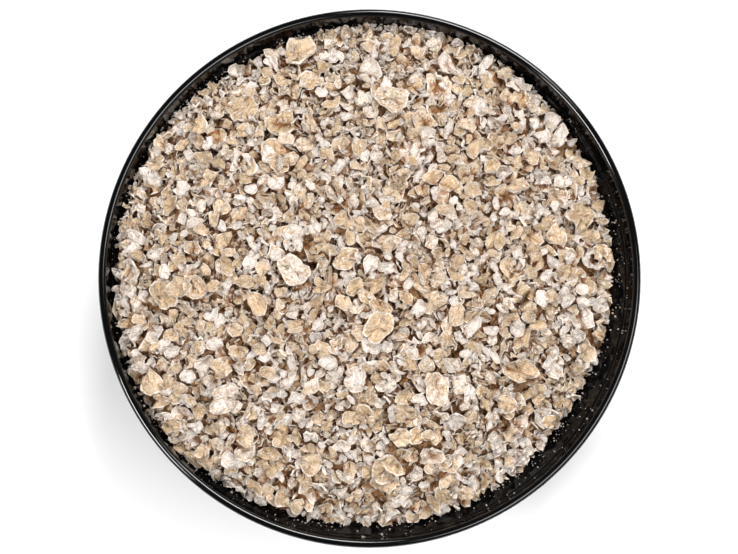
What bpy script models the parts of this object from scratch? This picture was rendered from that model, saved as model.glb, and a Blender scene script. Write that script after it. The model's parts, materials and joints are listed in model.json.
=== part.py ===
"""A round glazed bowl heaped with rolled oats. Metres, +Z up, origin on the table under the middle of the foot.

The picture that the part follows looks almost straight down, with +X to its right and +Y to its top.
"""

import math
import random

import bmesh
import bpy
from mathutils import Matrix, Vector
from mathutils.geometry import delaunay_2d_cdt

MM = 0.001

# The bowl's driving sizes
RIM_RADIUS = 75.0 * MM
BOWL_HEIGHT = 50.0 * MM
LIP_RADIUS = 1.1 * MM  # half the lip's thickness, rounded over the top
COLLAR_DEPTH = 7.6 * MM  # the steep band inside the lip
COLLAR_LEAN = 0.6 * MM  # how far the band leans in on its way down
LEDGE_WIDTH = 0.8 * MM  # the small shoulder below the band
LEDGE_DROP = 0.5 * MM
FLOOR_HEIGHT = 6.5 * MM  # the inside's lowest point
OUTER_COLLAR_DEPTH = 8.0 * MM
OUTER_COLLAR_LEAN = 0.7 * MM
OUTER_CURVE = 96.0 * MM  # radius of the arc of the outer wall
FOOT_RADIUS = 34.0 * MM
FOOT_HEIGHT = 5.5 * MM
FOOT_TAPER = 1.2 * MM
FOOT_WIDTH = 4.0 * MM
FOOT_RECESS = 2.4 * MM
SEGMENTS = 64
CAP_STEPS = 6
LIP_STEPS = 6
WALL_STEPS = 6

# The heap of oats
GAP = 0.3 * MM  # between the oats and the bowl
PEAK_RISE = 5.0 * MM  # the heap's middle above the rim
EDGE_DROP = 9.2 * MM  # the heap's edge below the rim, on average
EDGE_TILT = 2.5 * MM  # how much lower it lies on its low side, and higher on the other
EDGE_WOBBLE = 1.0 * MM  # how uneven the edge is along its length
WOBBLE_WAVES = ((2, 1.0, -0.33), (3, 0.4, -2.1), (5, 0.5, 1.33))  # waves round the edge, share of the wobble, and start
LOW_SIDE = math.radians(-43.0)  # the direction of the low side
HEAP_POWER = 3.4  # a flat middle and steeper flanks
SWELL = 0.5 * MM  # broad unevenness of the heap
SWELL_LENGTHS = (9.0 * MM, 11.0 * MM)  # along X and Y, for one radian of its waves
SWELL_STARTS = (0.6, -0.4)
BUMP = 0.8 * MM  # relief of the flakes that are too small to model
BUMP_SPACING = 6.0 * MM
BUMP_INSET = 0.6  # from the heap's edge to the outermost bump, as a share of the spacing
SIDE_STEPS = 4  # rings of the heap's body below its edge
GOLDEN_ANGLE = math.pi * (3.0 - math.sqrt(5.0))

# Flakes fused to the heap: how many of each kind, with length, the spread of length and the corners of one
FLAKE_KINDS = {
    "whole": (44, 9.2 * MM, 1.2 * MM, 8),
    "broken": (72, 7.0 * MM, 0.8 * MM, 7),
    "small": (72, 5.2 * MM, 0.6 * MM, 6),
}
FLAKE_WIDTH = (0.72, 0.95)  # least and most, as a share of the length
FLAKE_INSET = 0.3  # from the heap's edge to the middle of the outermost flake, as a share of its length
CORNER_REACH = (0.84, 1.0)  # how far out a corner lies, as a share of an even oval
CORNER_JITTER = 0.25  # how far a corner is turned from its even place, as a share of the spacing
CROWN_SHIFT = 0.15  # how far the thickest point lies off the middle, as a share of the length
FLAKE_THICKNESS = 0.7 * MM  # at its edge
FLAKE_CROWN = 0.3 * MM  # the middle of either face above its edge
FLAKE_CURL = 0.25 * MM  # how far its edge bends up and down
FLAKE_CLEARANCE = 0.6 * MM  # from a flake's tip to the bowl's wall
FLAKE_LIFT = (0.3 * MM, 1.1 * MM)  # of its middle above the heap's even surface
FLAKE_TILT = math.radians(17.0)
STEEPEST_FLAKE = math.radians(48.0)
SEED = 7
MERGE_DISTANCE = 0.01 * MM

BLACK_GLAZE = (0.006, 0.006, 0.007, 1.0)
OAT_TAN = (0.60, 0.44, 0.27, 1.0)


def clear_scene():
    for obj in list(bpy.data.objects):
        bpy.data.objects.remove(obj, do_unlink=True)


def material(name, colour, roughness):
    made = bpy.data.materials.new(name)
    made.use_nodes = True
    shader = made.node_tree.nodes["Principled BSDF"]
    shader.inputs["Base Color"].default_value = colour
    shader.inputs["Roughness"].default_value = roughness
    shader.inputs["Metallic"].default_value = 0.0
    return made


def new_object(name, mesh):
    obj = bpy.data.objects.new(name, mesh)
    bpy.context.scene.collection.objects.link(obj)
    return obj


def arc_points(start, end, radius, steps):
    """Points from start up to but not including end, along an arc whose centre is above and inside it."""
    across = Vector(end) - Vector(start)
    middle = (Vector(start) + Vector(end)) / 2
    inward = Vector((-across.y, across.x)).normalized()
    centre = middle + inward * math.sqrt(radius**2 - (across.length / 2) ** 2)
    first = Vector(start) - centre
    sweep = first.angle_signed(Vector(end) - centre)
    turned = [Matrix.Rotation(-sweep * i / steps, 2) @ first for i in range(steps)]
    return [tuple(centre + arm) for arm in turned]


def inside_profile():
    """The bowl's inside: a round cap from the middle of its floor, the shoulder, and the band up to the lip."""
    lip_inside = RIM_RADIUS - 2 * LIP_RADIUS
    collar_foot = (lip_inside - COLLAR_LEAN, BOWL_HEIGHT - COLLAR_DEPTH)
    ledge = (collar_foot[0] - LEDGE_WIDTH, collar_foot[1] - LEDGE_DROP)
    depth = ledge[1] - FLOOR_HEIGHT
    cap_radius = (ledge[0] ** 2 + depth**2) / (2 * depth)
    cap = arc_points((0.0, FLOOR_HEIGHT), ledge, cap_radius, CAP_STEPS)
    return cap + [ledge, collar_foot, (lip_inside, BOWL_HEIGHT - LIP_RADIUS)]


def inside_radius(height):
    """Radius of the bowl's inside at a height above the table."""
    points = inside_profile()
    for (low_r, low_z), (high_r, high_z) in zip(points, points[1:]):
        if height < high_z:
            share = max((height - low_z) / (high_z - low_z), 0.0)
            return low_r + share * (high_r - low_r)
    return points[-1][0]


def bowl_profile():
    """The bowl's section: up its inside, over the lip, down its outside and back under the foot."""
    lip_centre = RIM_RADIUS - LIP_RADIUS
    points = inside_profile()[:-1]
    for i in range(LIP_STEPS + 1):
        angle = math.pi * (1 - i / LIP_STEPS)
        across = lip_centre + LIP_RADIUS * math.cos(angle)
        points.append((across, BOWL_HEIGHT - LIP_RADIUS + LIP_RADIUS * math.sin(angle)))
    outer = (RIM_RADIUS - OUTER_COLLAR_LEAN, BOWL_HEIGHT - OUTER_COLLAR_DEPTH)
    foot_top = (FOOT_RADIUS, FOOT_HEIGHT)
    points += [outer] + arc_points(foot_top, outer, OUTER_CURVE, WALL_STEPS)[:0:-1] + [foot_top]
    foot_outer = FOOT_RADIUS - FOOT_TAPER
    points.append((foot_outer, 0.0))
    points.append((foot_outer - FOOT_WIDTH, 0.0))
    points.append((foot_outer - FOOT_WIDTH - FOOT_TAPER, FOOT_RECESS))
    points.append((0.0, FOOT_RECESS))
    return points


def make_bowl():
    mesh = bpy.data.meshes.new("bowl")
    section = [(r, 0.0, z) for r, z in bowl_profile()]
    mesh.from_pydata(section, [(i, i + 1) for i in range(len(section) - 1)], [])
    bowl = new_object("bowl", mesh)
    turn = bowl.modifiers.new("turned", "SCREW")
    turn.axis = "Z"
    turn.steps = turn.render_steps = SEGMENTS
    turn.use_merge_vertices = True
    turn.merge_threshold = MERGE_DISTANCE
    turn.use_smooth_shade = True
    bowl.data.materials.append(material("black glaze", BLACK_GLAZE, 0.12))
    return bowl


def edge_height(angle):
    """Height of the heap's edge against the bowl, in a direction from the bowl's axis."""
    drop = EDGE_DROP + EDGE_TILT * math.cos(angle - LOW_SIDE)
    wobble = sum(share * math.sin(count * angle + start) for count, share, start in WOBBLE_WAVES)
    return BOWL_HEIGHT - drop + EDGE_WOBBLE * wobble


def edge_radius(angle):
    return inside_radius(edge_height(angle)) - GAP


def heap_height(x, y):
    """Height of the heap's even surface, without flakes or bumps."""
    angle = math.atan2(y, x)
    share = min(math.hypot(x, y) / edge_radius(angle), 1.0)
    peak = BOWL_HEIGHT + PEAK_RISE
    swell_x = math.sin(x / SWELL_LENGTHS[0] + SWELL_STARTS[0])
    swell_y = math.cos(y / SWELL_LENGTHS[1] + SWELL_STARTS[1])
    swell = SWELL * swell_x * swell_y
    return peak - (peak - edge_height(angle)) * share**HEAP_POWER + swell * (1 - share)


def heap_normal(x, y):
    step = 1.0 * MM
    slope_x = (heap_height(x + step, y) - heap_height(x - step, y)) / (2 * step)
    slope_y = (heap_height(x, y + step) - heap_height(x, y - step)) / (2 * step)
    return Vector((-slope_x, -slope_y, 1.0)).normalized()


def spiral_place(index, count, angle_offset=0.0):
    """The index-th of count evenly spread places, as a share of the heap's radius and a direction."""
    return math.sqrt((index + 0.5) / count), index * GOLDEN_ANGLE + angle_offset


def heap_top_points(draw):
    """Places of the bumps on the heap: an even spiral, inside the ring where the heap meets the bowl."""
    mean_radius = inside_radius(BOWL_HEIGHT - EDGE_DROP)
    count = int(math.pi * mean_radius**2 / BUMP_SPACING**2)
    places = []
    for i in range(count):
        share, angle = spiral_place(i, count)
        reach = edge_radius(angle) - BUMP_INSET * BUMP_SPACING
        x, y = share * reach * math.cos(angle), share * reach * math.sin(angle)
        places.append((x, y, heap_height(x, y) + BUMP * draw.uniform(-1.0, 1.0)))
    return places


def make_heap_core(draw):
    """The closed core of the heap: a bumpy top on a body that fills the bowl, clear of it by the gap."""
    ring = [2 * math.pi * i / SEGMENTS for i in range(SEGMENTS)]
    rim = [(edge_radius(a) * math.cos(a), edge_radius(a) * math.sin(a), edge_height(a)) for a in ring]
    top = rim + heap_top_points(draw)
    flat = [Vector((x, y)) for x, y, _ in top]
    loop = [(i, (i + 1) % SEGMENTS) for i in range(SEGMENTS)]
    faces = delaunay_2d_cdt(flat, loop, [], 1, MERGE_DISTANCE)[2]
    work = bmesh.new()
    top_verts = [work.verts.new(p) for p in top]
    for face in faces:
        work.faces.new([top_verts[i] for i in face])
    above = top_verts[:SEGMENTS]
    shoulder = inside_profile()[CAP_STEPS][1]
    floor = FLOOR_HEIGHT + 2 * GAP
    for step in range(SIDE_STEPS):
        fall = (1 - step / (SIDE_STEPS - 1)) ** 2
        below = []
        for angle in ring:
            start = min(edge_height(angle) - GAP, shoulder)
            height = floor + (start - floor) * fall
            radius = inside_radius(height - GAP) - GAP
            below.append(work.verts.new((radius * math.cos(angle), radius * math.sin(angle), height)))
        bridge(work, above, below)
        above = below
    work.faces.new(above[::-1])
    bmesh.ops.triangulate(work, faces=[f for f in work.faces if len(f.verts) > 4])
    bmesh.ops.recalc_face_normals(work, faces=work.faces)
    mesh = bpy.data.meshes.new("oats")
    work.to_mesh(mesh)
    work.free()
    return new_object("oats", mesh)


def bridge(work, upper, lower):
    count = len(upper)
    for i in range(count):
        j = (i + 1) % count
        work.faces.new((upper[i], upper[j], lower[j], lower[i]))


def make_flake(name, length, width, corner_count, draw):
    """A rolled flake: an uneven plate whose edge bends a little, crowned on both faces, with few corners."""
    work = bmesh.new()
    above, below = [], []
    half = 0.5 * FLAKE_THICKNESS
    for i in range(corner_count):
        angle = 2 * math.pi * (i + draw.uniform(-CORNER_JITTER, CORNER_JITTER)) / corner_count
        reach = draw.uniform(*CORNER_REACH)
        x, y = 0.5 * length * reach * math.cos(angle), 0.5 * width * reach * math.sin(angle)
        curl = FLAKE_CURL * draw.uniform(-1.0, 1.0)
        above.append(work.verts.new((x, y, curl + half)))
        below.append(work.verts.new((x, y, curl - half)))
    off_middle = CROWN_SHIFT * length * draw.uniform(-1.0, 1.0)
    crown = work.verts.new((off_middle, 0.0, half + FLAKE_CROWN))
    belly = work.verts.new((off_middle, 0.0, -half - FLAKE_CROWN))
    bridge(work, below, above)
    for i in range(corner_count):
        j = (i + 1) % corner_count
        work.faces.new((crown, above[i], above[j]))
        work.faces.new((belly, below[j], below[i]))
    mesh = bpy.data.meshes.new(name)
    work.to_mesh(mesh)
    work.free()
    return bpy.data.objects.new(name, mesh)


def lay_flake(flake, x, y, draw):
    """Lays a flake on the heap, turned and tilted at random, and slides it in where it meets the bowl."""
    tilt = min(abs(draw.gauss(0.0, FLAKE_TILT)), STEEPEST_FLAKE)
    lean = heap_normal(x, y).to_track_quat("Z", "Y").to_matrix()
    way = draw.uniform(0.0, 2 * math.pi)
    tilted = Matrix.Rotation(way, 3, "Z") @ Matrix.Rotation(tilt, 3, "X")
    turn = Matrix.Rotation(draw.uniform(0.0, 2 * math.pi), 3, "Z")
    place = (lean @ tilted @ turn).to_4x4()
    place.translation = Vector((x, y, heap_height(x, y) + draw.uniform(*FLAKE_LIFT)))
    inward = -Vector((x, y, 0.0)).normalized()
    place.translation += inward * max(reach_past_bowl(flake, place), 0.0)
    flake.matrix_world = place


def reach_past_bowl(flake, place):
    """How far a flake's furthest corner comes past its clearance from the bowl's wall."""
    corners = [place @ v.co for v in flake.data.vertices]
    return max(math.hypot(c.x, c.y) + FLAKE_CLEARANCE - inside_radius(c.z) for c in corners)


def make_flakes(draw):
    """All fused flakes, largest first and each kind spread evenly over the heap, in one collection."""
    flakes = bpy.data.collections.new("flakes")
    bpy.context.scene.collection.children.link(flakes)
    for kind, (count, length, spread, corner_count) in FLAKE_KINDS.items():
        for i in range(count):
            share, angle = spiral_place(i, count, angle_offset=length / MM)
            long = length + spread * draw.uniform(-1.0, 1.0)
            wide = long * draw.uniform(*FLAKE_WIDTH)
            flake = make_flake(f"{kind}_flake_{i}", long, wide, corner_count, draw)
            flakes.objects.link(flake)
            reach = share * (edge_radius(angle) - FLAKE_INSET * long)
            lay_flake(flake, reach * math.cos(angle), reach * math.sin(angle), draw)
    return flakes


def shell_of(start):
    """The verts that edges join to start."""
    found, waiting = {start}, [start]
    while waiting:
        for edge in waiting.pop().link_edges:
            for vert in edge.verts:
                if vert not in found:
                    found.add(vert)
                    waiting.append(vert)
    return found


def keep_main_shell(mesh):
    """Drops loose scraps, and fills hollows that the fusing sealed, by keeping the largest shell alone."""
    work = bmesh.new()
    work.from_mesh(mesh)
    shells, left = [], set(work.verts)
    while left:
        shell = shell_of(next(iter(left)))
        shells.append(shell)
        left -= shell
    main = max(shells, key=len)
    spare = [v for v in work.verts if v not in main]
    bmesh.ops.delete(work, geom=spare, context="VERTS")
    work.to_mesh(mesh)
    work.free()


def fuse(core, flakes):
    """Joins the flakes to the core in one union, applies it and removes the loose flakes."""
    union = core.modifiers.new("fused", "BOOLEAN")
    union.operation = "UNION"
    union.operand_type = "COLLECTION"
    union.collection = flakes
    union.solver = "MANIFOLD"
    graph = bpy.context.evaluated_depsgraph_get()
    joined = bpy.data.meshes.new_from_object(core.evaluated_get(graph))
    core.modifiers.clear()
    core.data = joined
    for flake in list(flakes.objects):
        bpy.data.objects.remove(flake, do_unlink=True)
    bpy.data.collections.remove(flakes)
    keep_main_shell(core.data)


def make_oats():
    draw = random.Random(SEED)
    core = make_heap_core(draw)
    fuse(core, make_flakes(draw))
    core.data.name = "oats"
    core.data.materials.clear()
    core.data.materials.append(material("oat flakes", OAT_TAN, 0.85))
    return core


def main():
    clear_scene()
    make_bowl()
    make_oats()


main()
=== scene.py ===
"""A black glazed bowl heaped with rolled oats, on a pale floor, with its light and camera."""

import json
import math
from types import SimpleNamespace
from typing import NamedTuple

import bpy
import numpy as np
from bpy.props import FloatProperty, FloatVectorProperty, IntProperty, PointerProperty
from mathutils import Matrix, Vector

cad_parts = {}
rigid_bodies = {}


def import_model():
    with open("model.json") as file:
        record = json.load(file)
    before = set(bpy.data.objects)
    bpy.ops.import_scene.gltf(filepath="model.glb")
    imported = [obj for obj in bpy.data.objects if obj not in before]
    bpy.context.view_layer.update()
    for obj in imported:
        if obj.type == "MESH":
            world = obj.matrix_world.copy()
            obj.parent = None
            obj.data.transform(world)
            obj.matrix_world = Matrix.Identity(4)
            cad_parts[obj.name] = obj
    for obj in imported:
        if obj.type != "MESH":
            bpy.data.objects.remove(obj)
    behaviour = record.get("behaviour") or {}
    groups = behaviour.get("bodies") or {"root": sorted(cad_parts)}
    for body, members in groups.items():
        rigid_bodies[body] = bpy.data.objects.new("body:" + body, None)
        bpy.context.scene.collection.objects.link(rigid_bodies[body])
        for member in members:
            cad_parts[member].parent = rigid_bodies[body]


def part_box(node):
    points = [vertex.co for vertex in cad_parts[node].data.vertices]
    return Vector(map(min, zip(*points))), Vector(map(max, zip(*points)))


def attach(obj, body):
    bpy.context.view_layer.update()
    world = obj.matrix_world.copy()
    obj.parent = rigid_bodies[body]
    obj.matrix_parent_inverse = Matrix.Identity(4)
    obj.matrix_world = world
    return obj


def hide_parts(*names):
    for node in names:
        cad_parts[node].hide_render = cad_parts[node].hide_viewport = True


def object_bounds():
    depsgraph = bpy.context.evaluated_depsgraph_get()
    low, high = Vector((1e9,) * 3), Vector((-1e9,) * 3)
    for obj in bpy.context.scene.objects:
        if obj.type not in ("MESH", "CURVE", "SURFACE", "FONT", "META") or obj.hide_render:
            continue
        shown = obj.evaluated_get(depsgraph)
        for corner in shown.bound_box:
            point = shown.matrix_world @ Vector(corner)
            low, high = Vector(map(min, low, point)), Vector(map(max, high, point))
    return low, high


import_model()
CAD_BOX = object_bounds()

bl_info = {
    "name": "Bowl of Rolled Oats",
    "version": (1, 0, 0),
    "blender": (4, 5, 0),
    "location": "3D View > Sidebar > Oats",
    "description": "Makes a glazed bowl heaped with rolled oat flakes, piece by piece",
    "category": "Object",
}

MM = 0.001
TAU = 2 * math.pi
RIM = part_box("bowl")[1]  # the highest corner of the bowl's box: half its width, and its height
BODY = "root"


# The sizes and colours that a user would change

class BowlSize(bpy.types.PropertyGroup):
    """The turned bowl"""
    lip_radius: FloatProperty(
        name="Lip Radius", description="Half the lip's thickness", default=1.1 * MM, unit="LENGTH")
    collar_depth: FloatProperty(
        name="Collar Depth", description="Height of the steep band inside the lip",
        default=7.6 * MM, unit="LENGTH")
    collar_lean: FloatProperty(
        name="Collar Lean", description="How far the band leans in on its way down",
        default=0.6 * MM, unit="LENGTH")
    ledge_width: FloatProperty(
        name="Ledge Width", description="Width of the shoulder under the band",
        default=0.8 * MM, unit="LENGTH")
    ledge_drop: FloatProperty(
        name="Ledge Drop", description="Fall of the shoulder", default=0.5 * MM, unit="LENGTH")
    floor_height: FloatProperty(
        name="Floor Height", description="The inside's lowest point above the table",
        default=6.5 * MM, unit="LENGTH")
    outer_collar: FloatProperty(
        name="Outer Collar", description="Height of the outer band below the lip",
        default=8.0 * MM, unit="LENGTH")
    outer_lean: FloatProperty(
        name="Outer Lean", description="How far the outer band leans in", default=0.7 * MM, unit="LENGTH")
    outer_curve: FloatProperty(
        name="Outer Curve", description="Radius of the outer wall's arc",
        default=96.0 * MM, unit="LENGTH")
    foot_radius: FloatProperty(
        name="Foot Radius", description="Radius of the foot ring where it joins the bowl",
        default=34.0 * MM, unit="LENGTH")
    foot_height: FloatProperty(
        name="Foot Height", description="Height of the foot ring", default=5.5 * MM, unit="LENGTH")
    foot_taper: FloatProperty(
        name="Foot Taper", description="How far the foot's sides lean in",
        default=1.2 * MM, unit="LENGTH")
    foot_width: FloatProperty(
        name="Foot Width", description="Width of the foot ring's base", default=4.0 * MM, unit="LENGTH")
    foot_recess: FloatProperty(
        name="Foot Recess", description="Depth of the hollow inside the foot ring",
        default=2.4 * MM, unit="LENGTH")


class HeapSize(bpy.types.PropertyGroup):
    """The heap's even surface, which the flakes are laid up to"""
    peak_rise: FloatProperty(
        name="Peak Rise", description="The heap's middle above the rim", default=4.8 * MM, unit="LENGTH")
    edge_drop: FloatProperty(
        name="Edge Drop", description="The heap's edge below the rim, on average",
        default=9.2 * MM, unit="LENGTH")
    edge_tilt: FloatProperty(
        name="Edge Tilt", description="How much lower the edge lies on its low side",
        default=2.5 * MM, unit="LENGTH")
    edge_wobble: FloatProperty(
        name="Edge Wobble", description="How uneven the edge is along its length",
        default=1.0 * MM, unit="LENGTH")
    low_side: FloatProperty(
        name="Low Side", description="Direction of the low side",
        default=math.radians(-43.0), subtype="ANGLE")
    flatness: FloatProperty(
        name="Flatness", description="Higher makes the middle flatter and the flanks steeper",
        default=3.4)
    swell: FloatProperty(
        name="Swell", description="Broad unevenness of the heap", default=0.5 * MM, unit="LENGTH")
    loose_depth: FloatProperty(
        name="Loose Depth", description="Depth of the modelled flakes over the core",
        default=2.7 * MM, unit="LENGTH")
    gap: FloatProperty(
        name="Gap", description="Between the oats and the bowl", default=0.12 * MM, unit="LENGTH")


class FlakeMix(bpy.types.PropertyGroup):
    """How many flakes of each kind are offered to the heap, and how they lie"""
    whole: IntProperty(name="Whole Flakes", description="Large flakes with a crease", default=150)
    golden: IntProperty(
        name="Golden Flakes", description="Broken flakes with bran on them", default=2000)
    creamy: IntProperty(name="Creamy Flakes", description="Pale broken flakes", default=2020)
    floury: IntProperty(
        name="Floury Flakes", description="White pieces of the grain's heart", default=1400)
    chips: IntProperty(name="Chips", description="Small broken flakes", default=3500)
    slivers: IntProperty(name="Slivers", description="Narrow strips, many on edge", default=1700)
    tilt: FloatProperty(
        name="Tilt", description="Usual tilt of a flake", default=math.radians(33.0), subtype="ANGLE")
    steep_share: FloatProperty(
        name="Steep Share", description="Share of the flakes stuck on edge",
        default=0.36, subtype="FACTOR")
    snugness: FloatProperty(
        name="Snugness", description="Share of a flake that rests clear of what lies under it",
        default=0.97, subtype="FACTOR")
    overshoot: FloatProperty(
        name="Overshoot", description="How far a flake may reach above the heap's even surface",
        default=1.3 * MM, unit="LENGTH")
    overhang: FloatProperty(
        name="Overhang", description="How far a flake may stand out over the heap's falling edge",
        default=1.5 * MM, unit="LENGTH")
    seed: IntProperty(name="Seed", description="Start of the random draws", default=11)


class OatColours(bpy.types.PropertyGroup):
    """Colours of the oats"""
    flour: FloatVectorProperty(
        name="Flour", description="The grain's white heart", subtype="COLOR", size=3,
        default=(0.87, 0.80, 0.735))
    cream: FloatVectorProperty(
        name="Cream", description="Pale flakes", subtype="COLOR", size=3, default=(0.84, 0.69, 0.495))
    gold: FloatVectorProperty(
        name="Gold", description="Flakes with bran", subtype="COLOR", size=3, default=(0.70, 0.54, 0.335))
    # Bran: the colour of real bran, and also of the painted shade in the flakes' dishes, wrinkle hollows,
    # inner rims and deep places
    bran: FloatVectorProperty(
        name="Bran", description="Bran in creases and streaks", subtype="COLOR", size=3,
        default=(0.42, 0.22, 0.085))
    # Deep: a painted shade, the dark brown the core is given to stand for the shade in the gaps between the
    # flakes
    deep: FloatVectorProperty(
        name="Deep", description="The oats under the loose flakes", subtype="COLOR", size=3,
        default=(0.26, 0.125, 0.04))


class GlazeLook(bpy.types.PropertyGroup):
    """The bowl's glaze and the crumbs on it"""
    glaze: FloatVectorProperty(
        name="Glaze", description="Colour of the glaze", subtype="COLOR", size=3,
        default=(0.0020, 0.0020, 0.0023))
    clay: FloatVectorProperty(
        name="Clay", description="The unglazed base of the foot", subtype="COLOR", size=3,
        default=(0.085, 0.070, 0.060))
    gloss_roughness: FloatProperty(
        name="Glaze Roughness", description="Roughness of clean glaze", default=0.07)
    crumbs: IntProperty(name="Crumbs", description="Oat crumbs on the inner wall", default=330)


class StageLook(bpy.types.PropertyGroup):
    """Floor, lights and camera"""
    floor: FloatVectorProperty(
        name="Floor", description="Colour of the floor", subtype="COLOR", size=3,
        default=(0.95, 0.95, 0.95))
    sky: FloatProperty(name="Sky", description="Brightness of the surroundings", default=0.03)
    key: FloatProperty(
        name="Key Light", description="Power of the small light on the left", default=4.9, unit="POWER")
    fill: FloatProperty(
        name="Fill Light", description="Power of the broad light on the right", default=5.2, unit="POWER")
    back: FloatProperty(
        name="Back Light", description="Power of the light behind", default=6.7, unit="POWER")
    elevation: FloatProperty(
        name="Elevation", description="The camera's height above the horizon",
        default=math.radians(83.0), subtype="ANGLE")
    lens: FloatProperty(name="Lens", description="Focal length in millimetres", default=100.0)


# Shape of the bowl and of the heap

CORNER_SHARE = 0.45  # a rounded corner takes at most this share of either side
INSIDE_ROUNDING = 0.9 * MM
FOOT_ROUNDINGS = ((2, 0.8), (3, 0.5), (4, 0.7), (5, 0.9))  # corners from the section's end, radii in mm
LIP_STEPS = 16  # points over the lip
OUTER_STEPS = 30  # and down the outside
BOWL_SEGMENTS = 192


def swept(centre, first, last, steps, count):
    """So many points from centre + first, on the short way round to centre + last in the given steps."""
    turn = math.atan2(last.y, last.x) - math.atan2(first.y, first.x)
    turn = (turn + math.pi) % TAU - math.pi
    return [tuple(centre + Matrix.Rotation(turn * i / steps, 2) @ first) for i in range(count)]


def arc(start, end, radius, steps):
    """Points from start up to but not including end, on an arc with its centre above and inside."""
    start, end = Vector(start), Vector(end)
    across = end - start
    inward = Vector((-across.y, across.x)).normalized()
    centre = (start + end) / 2 + inward * math.sqrt(radius**2 - (across.length / 2) ** 2)
    return swept(centre, start - centre, end - centre, steps, steps)


def rounded(points, corner, radius, steps=5):
    """The points with the one at index corner swapped for a small arc."""
    here = Vector(points[corner])
    back, ahead = Vector(points[corner - 1]) - here, Vector(points[corner + 1]) - here
    half = back.angle(ahead) / 2
    reach = min(radius / math.tan(half), CORNER_SHARE * back.length, CORNER_SHARE * ahead.length)
    radius = reach * math.tan(half)
    centre = here + (back.normalized() + ahead.normalized()).normalized() * (radius / math.sin(half))
    first = here + back.normalized() * reach - centre
    last = here + ahead.normalized() * reach - centre
    return points[:corner] + swept(centre, first, last, steps, steps + 1) + points[corner + 1:]


def inside_profile(bowl, steps=40):
    """The bowl's inside, from the middle of its floor to the start of the lip, as radius and height."""
    lip_inside = RIM.x - 2 * bowl.lip_radius
    collar_foot = (lip_inside - bowl.collar_lean, RIM.z - bowl.collar_depth)
    ledge = (collar_foot[0] - bowl.ledge_width, collar_foot[1] - bowl.ledge_drop)
    depth = ledge[1] - bowl.floor_height
    cap_radius = (ledge[0] ** 2 + depth**2) / (2 * depth)
    cap = arc((0.0, bowl.floor_height), ledge, cap_radius, steps)
    return cap + [ledge, collar_foot, (lip_inside, RIM.z - bowl.lip_radius)]


def bowl_section(bowl):
    """The bowl's whole section: up the inside, over the lip, down the outside and back under the foot."""
    points = inside_profile(bowl)
    points = rounded(points, len(points) - 2, INSIDE_ROUNDING)
    ledge_height = RIM.z - bowl.collar_depth - 1.01 * bowl.ledge_drop
    ledge = next(i for i, point in enumerate(points) if point[1] > ledge_height)
    points = rounded(points, ledge, INSIDE_ROUNDING)
    lip_centre = RIM.x - bowl.lip_radius
    for i in range(1, LIP_STEPS + 1):
        angle = math.pi * (1 - i / LIP_STEPS)
        across = lip_centre + bowl.lip_radius * math.cos(angle)
        points.append((across, RIM.z - bowl.lip_radius + bowl.lip_radius * math.sin(angle)))
    outer = (RIM.x - bowl.outer_lean, RIM.z - bowl.outer_collar)
    foot_top = (bowl.foot_radius, bowl.foot_height)
    points += [outer] + arc(foot_top, outer, bowl.outer_curve, OUTER_STEPS)[:0:-1] + [foot_top]
    foot_outer = bowl.foot_radius - bowl.foot_taper
    foot_inner = foot_outer - bowl.foot_width
    points.append((foot_outer, 0.0))
    points.append((foot_inner, 0.0))
    points.append((foot_inner - bowl.foot_taper, bowl.foot_recess))
    points.append((0.0, bowl.foot_recess))
    count = len(points)
    for back, radius in FOOT_ROUNDINGS:
        points = rounded(points, count - back, radius * MM, 4)
    return points


def inside_radius(bowl, height):
    """Radius of the bowl's inside at one height or an array of heights."""
    points = np.array(inside_profile(bowl))
    return np.interp(height, points[:, 1], points[:, 0])


def inside_height(bowl, radius):
    """Height of the bowl's inside at an array of radii, far up outside it."""
    points = np.array(inside_profile(bowl))
    return np.interp(radius, points[:, 0], points[:, 1], right=10 * RIM.z)


WOBBLE_WAVES = ((2, 1.0, -0.33), (3, 0.4, -2.1), (5, 0.5, 1.33))  # waves round the edge, share and start
SWELL_LENGTHS = (9.0 * MM, 11.0 * MM)  # of the heap's broad unevenness, along X and along Y


def edge_height(heap, angle):
    """Height of the heap's edge against the bowl, by direction from the bowl's axis."""
    drop = heap.edge_drop + heap.edge_tilt * np.cos(angle - heap.low_side)
    wobble = sum(share * np.sin(count * angle + start) for count, share, start in WOBBLE_WAVES)
    return RIM.z - drop + heap.edge_wobble * wobble


def edge_radius(bowl, heap, angle):
    """Distance of the heap's edge from the bowl's axis, by direction."""
    return inside_radius(bowl, edge_height(heap, angle)) - heap.gap


def heap_height(bowl, heap, x, y):
    """Height of the heap's even surface."""
    angle = np.arctan2(y, x)
    share = np.minimum(np.hypot(x, y) / edge_radius(bowl, heap, angle), 1.0)
    peak = RIM.z + heap.peak_rise
    swell = heap.swell * np.sin(x / SWELL_LENGTHS[0] + 0.6) * np.cos(y / SWELL_LENGTHS[1] - 0.4)
    return peak - (peak - edge_height(heap, angle)) * share**heap.flatness + swell * (1 - share)


# Making objects

def new_piece(name, mesh):
    piece = bpy.data.objects.new(name, mesh)
    bpy.context.scene.collection.objects.link(piece)
    return piece


def ride(piece, slot, *nodes):
    """Puts a finished piece on the bowl's body and hides the nodes it stands for. The slot it is given is
    not used.
    """
    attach(piece, BODY)
    if nodes:
        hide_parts(*nodes)


def ringed_mesh(name, first, rings, last):
    """A closed smooth shape from its first point, through rings of points, to its last point."""
    segments = len(rings[0])
    verts = [first, *(tuple(point) for ring in rings for point in ring), last]
    faces = [(0, 1 + i, 1 + (i + 1) % segments) for i in range(segments)]
    for ring in range(len(rings) - 1):
        start = 1 + ring * segments
        for i in range(segments):
            j = (i + 1) % segments
            faces.append((start + i, start + segments + i, start + segments + j, start + j))
    start = 1 + (len(rings) - 1) * segments
    faces += [(start + (i + 1) % segments, start + i, len(verts) - 1) for i in range(segments)]
    mesh = bpy.data.meshes.new(name)
    mesh.from_pydata(verts, [], faces)
    mesh.shade_smooth()
    return mesh


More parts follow.
